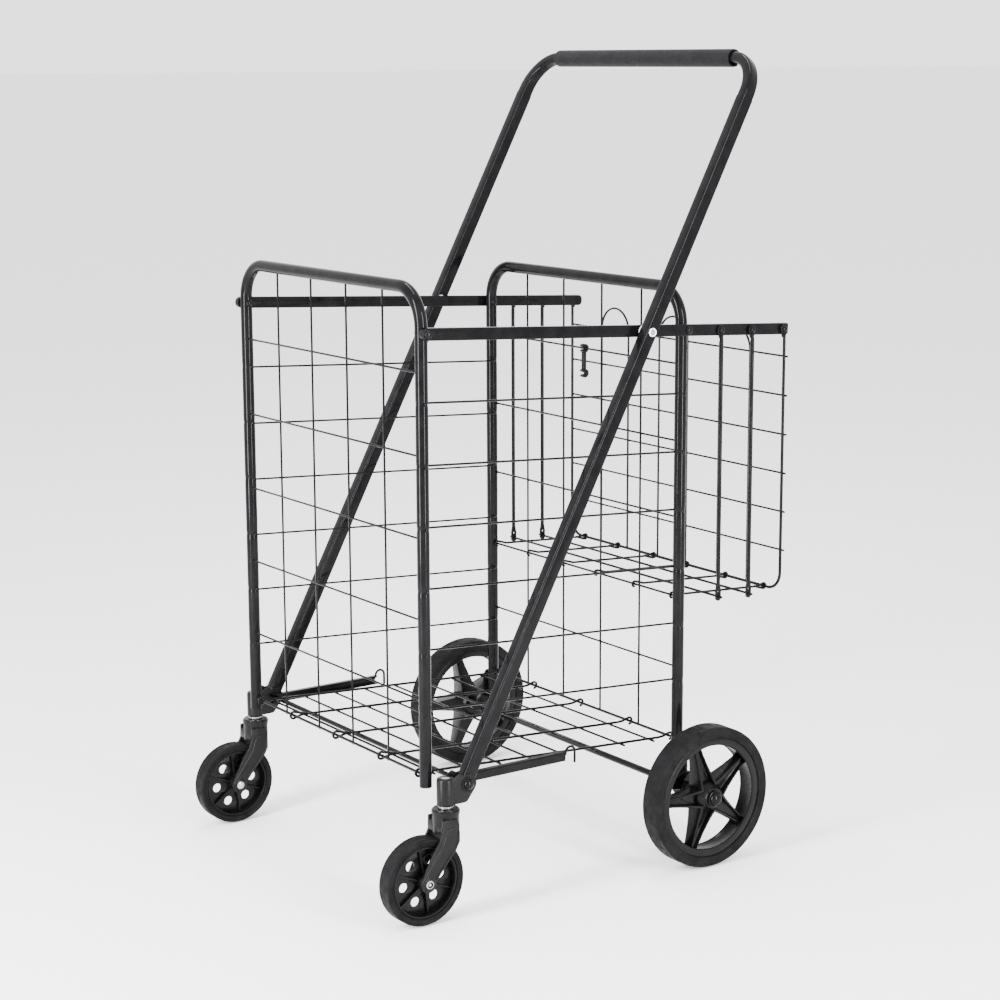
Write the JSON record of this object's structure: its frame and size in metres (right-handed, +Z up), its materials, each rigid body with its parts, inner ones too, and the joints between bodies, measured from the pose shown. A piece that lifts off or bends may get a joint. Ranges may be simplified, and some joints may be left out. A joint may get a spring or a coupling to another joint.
{
  "type": "folding shopping trolley",
  "caption": "Folding wire-basket shopping trolley with a hinged floor, hung rear basket, tall push handle, swivel front casters and large rear wheels.",
  "frame": {"origin": "on the ground, midway between the left and right rear wheel caps, and midway between the front of the casters and the rear end of the hung basket", "axes": "+Z up, -Y towards the swivel casters at the front, +Y towards the push handle and hung basket, +X to the right-hand side seen from the front casters looking to the rear"},
  "size_m": [0.6048, 0.6414, 1.0439],
  "materials": {
    "black_paint": "gloss black powder paint on steel tube and wire",
    "dark_plastic": "moulded black plastic, fine satin texture",
    "wheel_plastic": "moulded black plastic, satin",
    "tyre_rubber": "dull dark grey rubber",
    "grip_foam": "soft matt dark grey foam sleeve",
    "white_nylon": "natural white nylon",
    "bright_steel": "bright zinc-plated steel"
  },
  "bodies": {
    "rear_frame": {"rear_frame_tube": "black_paint", "rear_panel_grid": "black_paint", "rear_axle": "black_paint", "axle_bracket_left": "black_paint", "axle_bracket_right": "black_paint"},
    "top_bars": {"top_bar_left": "black_paint", "top_bar_right": "black_paint"},
    "front_frame": {"front_frame_tube": "black_paint", "front_panel_grid": "black_paint"},
    "floor": {"floor_grid": "black_paint"},
    "basket_floor": {"basket_floor": "black_paint"},
    "front_hangers": {"basket_hanger_front_left": "black_paint", "basket_hanger_front_right": "black_paint"},
    "rear_hangers": {"basket_hanger_rear_left": "black_paint", "basket_hanger_rear_right": "black_paint"},
    "basket_back": {"basket_back": "black_paint"},
    "storage_clip": {"storage_clip": "dark_plastic"},
    "push_handle": {"handle_bow": "black_paint", "handle_grip": "grip_foam", "handle_leg_left": "black_paint", "handle_leg_right": "black_paint", "pivot_washer_left": "white_nylon", "pivot_washer_right": "white_nylon", "pivot_rivet_left": "white_nylon", "pivot_rivet_right": "white_nylon"},
    "front_feet": {"front_cross_rod": "black_paint", "caster_foot_left": "dark_plastic", "caster_foot_right": "dark_plastic", "cross_rod_nut_left": "black_paint", "cross_rod_nut_right": "black_paint"},
    "bottom_rails": {"bottom_rail_left": "black_paint", "bottom_rail_right": "black_paint"},
    "side_wires_1": {"side_wire_1_left": "black_paint", "side_wire_1_right": "black_paint"},
    "side_wires_2": {"side_wire_2_left": "black_paint", "side_wire_2_right": "black_paint"},
    "side_wires_3": {"side_wire_3_left": "black_paint", "side_wire_3_right": "black_paint"},
    "side_wires_4": {"side_wire_4_left": "black_paint", "side_wire_4_right": "black_paint"},
    "side_wires_5": {"side_wire_5_left": "black_paint", "side_wire_5_right": "black_paint"},
    "side_wires_6": {"side_wire_6_left": "black_paint", "side_wire_6_right": "black_paint"},
    "caster_swivel_left": {"caster_stem_left": "bright_steel", "caster_fork_left": "dark_plastic", "caster_axle_left": "bright_steel"},
    "caster_wheel_left": {"caster_hub_left": "wheel_plastic", "caster_tyre_left": "tyre_rubber"},
    "rear_wheel_left": {"rear_hub_left": "wheel_plastic", "rear_tyre_left": "tyre_rubber"},
    "caster_swivel_right": {"caster_stem_right": "bright_steel", "caster_fork_right": "dark_plastic", "caster_axle_right": "bright_steel"},
    "caster_wheel_right": {"caster_hub_right": "wheel_plastic", "caster_tyre_right": "tyre_rubber"},
    "rear_wheel_right": {"rear_hub_right": "wheel_plastic", "rear_tyre_right": "tyre_rubber"}
  },
  "joints": [
    {"name": "fold", "type": "hinge", "parent": "rear_frame", "child": "top_bars", "pos_m": [0, 0.1522, 0.69428], "axis": [-1, 0, 0], "range_deg": [0, 73.5]},
    {"name": "front_frame_tilt", "type": "hinge", "parent": "top_bars", "child": "front_frame", "pos_m": [0, -0.2418, 0.717], "axis": [-1, 0, 0], "range_deg": [-73.55, 0]},
    {"name": "side_wires_1_tilt", "type": "hinge", "parent": "rear_frame", "child": "side_wires_1", "pos_m": [0, 0.1522, 0.61018], "axis": [-1, 0, 0], "range_deg": [0, 73.55]},
    {"name": "side_wires_2_tilt", "type": "hinge", "parent": "rear_frame", "child": "side_wires_2", "pos_m": [0, 0.1522, 0.53458], "axis": [-1, 0, 0], "range_deg": [0, 73.55]},
    {"name": "side_wires_3_tilt", "type": "hinge", "parent": "rear_frame", "child": "side_wires_3", "pos_m": [0, 0.1522, 0.45898], "axis": [-1, 0, 0], "range_deg": [0, 73.55]},
    {"name": "side_wires_4_tilt", "type": "hinge", "parent": "rear_frame", "child": "side_wires_4", "pos_m": [0, 0.1522, 0.38338], "axis": [-1, 0, 0], "range_deg": [0, 73.55]},
    {"name": "side_wires_5_tilt", "type": "hinge", "parent": "rear_frame", "child": "side_wires_5", "pos_m": [0, 0.1522, 0.30778], "axis": [-1, 0, 0], "range_deg": [0, 73.55]},
    {"name": "side_wires_6_tilt", "type": "hinge", "parent": "rear_frame", "child": "side_wires_6", "pos_m": [0, 0.1522, 0.23218], "axis": [-1, 0, 0], "range_deg": [0, 73.55]},
    {"name": "floor_tilt", "type": "hinge", "parent": "rear_frame", "child": "floor", "pos_m": [0, 0.1522, 0.15318], "axis": [-1, 0, 0], "range_deg": [0, 73.55]},
    {"name": "basket_floor_tilt", "type": "hinge", "parent": "rear_frame", "child": "basket_floor", "pos_m": [0, 0.1522, 0.3448], "axis": [-1, 0, 0], "range_deg": [0, 73.55]},
    {"name": "front_hangers_tilt", "type": "hinge", "parent": "top_bars", "child": "front_hangers", "pos_m": [0, 0.2032, 0.69134], "axis": [-1, 0, 0], "range_deg": [-73.55, 0]},
    {"name": "rear_hangers_tilt", "type": "hinge", "parent": "top_bars", "child": "rear_hangers", "pos_m": [0, 0.2552, 0.68834], "axis": [-1, 0, 0], "range_deg": [-73.55, 0]},
    {"name": "basket_back_tilt", "type": "hinge", "parent": "top_bars", "child": "basket_back", "pos_m": [0, 0.3102, 0.68517], "axis": [-1, 0, 0], "range_deg": [-73.55, 0]},
    {"name": "handle_swing", "type": "hinge", "parent": "top_bars", "child": "push_handle", "pos_m": [0, 0.0782, 0.69855], "axis": [-1, 0, 0], "range_deg": [-96.47, 0]},
    {"name": "feet_tilt", "type": "hinge", "parent": "push_handle", "child": "front_feet", "pos_m": [0, -0.2038, 0.1675], "axis": [-1, 0, 0], "range_deg": [0, 22.97]},
    {"name": "rails_lift", "type": "hinge", "parent": "front_feet", "child": "bottom_rails", "pos_m": [0, -0.2038, 0.1675], "axis": [-1, 0, 0], "range_deg": [-90.05, 0]},
    {"name": "clip_swing", "type": "hinge", "parent": "rear_frame", "child": "storage_clip", "pos_m": [0, 0.1572, 0.6483], "axis": [1, 0, 0], "range_deg": [-40, 40]},
    {"name": "caster_swivel_left", "type": "hinge", "parent": "front_feet", "child": "caster_swivel_left", "pos_m": [-0.2375, -0.2301, 0.16], "axis": [0, 0, -1], "continuous": true},
    {"name": "caster_roll_left", "type": "hinge", "parent": "caster_swivel_left", "child": "caster_wheel_left", "pos_m": [-0.2375, -0.2661, 0.0546], "axis": [1, 0, 0], "continuous": true},
    {"name": "rear_roll_left", "type": "hinge", "parent": "rear_frame", "child": "rear_wheel_left", "pos_m": [-0.275, 0.1492, 0.093], "axis": [1, 0, 0], "continuous": true},
    {"name": "caster_swivel_right", "type": "hinge", "parent": "front_feet", "child": "caster_swivel_right", "pos_m": [0.2375, -0.2301, 0.16], "axis": [0, 0, 1], "continuous": true},
    {"name": "caster_roll_right", "type": "hinge", "parent": "caster_swivel_right", "child": "caster_wheel_right", "pos_m": [0.2375, -0.2661, 0.0546], "axis": [1, 0, 0], "continuous": true},
    {"name": "rear_roll_right", "type": "hinge", "parent": "rear_frame", "child": "rear_wheel_right", "pos_m": [0.275, 0.1492, 0.093], "axis": [1, 0, 0], "continuous": true}
  ],
  "couplings": [
    {"joint": "front_frame_tilt", "follows": "fold", "ratio": -1},
    {"joint": "side_wires_1_tilt", "follows": "fold", "ratio": 1},
    {"joint": "side_wires_2_tilt", "follows": "fold", "ratio": 1},
    {"joint": "side_wires_3_tilt", "follows": "fold", "ratio": 1},
    {"joint": "side_wires_4_tilt", "follows": "fold", "ratio": 1},
    {"joint": "side_wires_5_tilt", "follows": "fold", "ratio": 1},
    {"joint": "side_wires_6_tilt", "follows": "fold", "ratio": 1},
    {"joint": "floor_tilt", "follows": "fold", "ratio": 1},
    {"joint": "basket_floor_tilt", "follows": "fold", "ratio": 1},
    {"joint": "front_hangers_tilt", "follows": "fold", "ratio": -1},
    {"joint": "rear_hangers_tilt", "follows": "fold", "ratio": -1},
    {"joint": "basket_back_tilt", "follows": "fold", "ratio": -1},
    {"joint": "handle_swing", "follows": "fold", "ratio": -1.3118},
    {"joint": "feet_tilt", "follows": "fold", "ratio": 0.31185},
    {"joint": "rails_lift", "follows": "fold", "ratio": -1.2245}
  ]
}
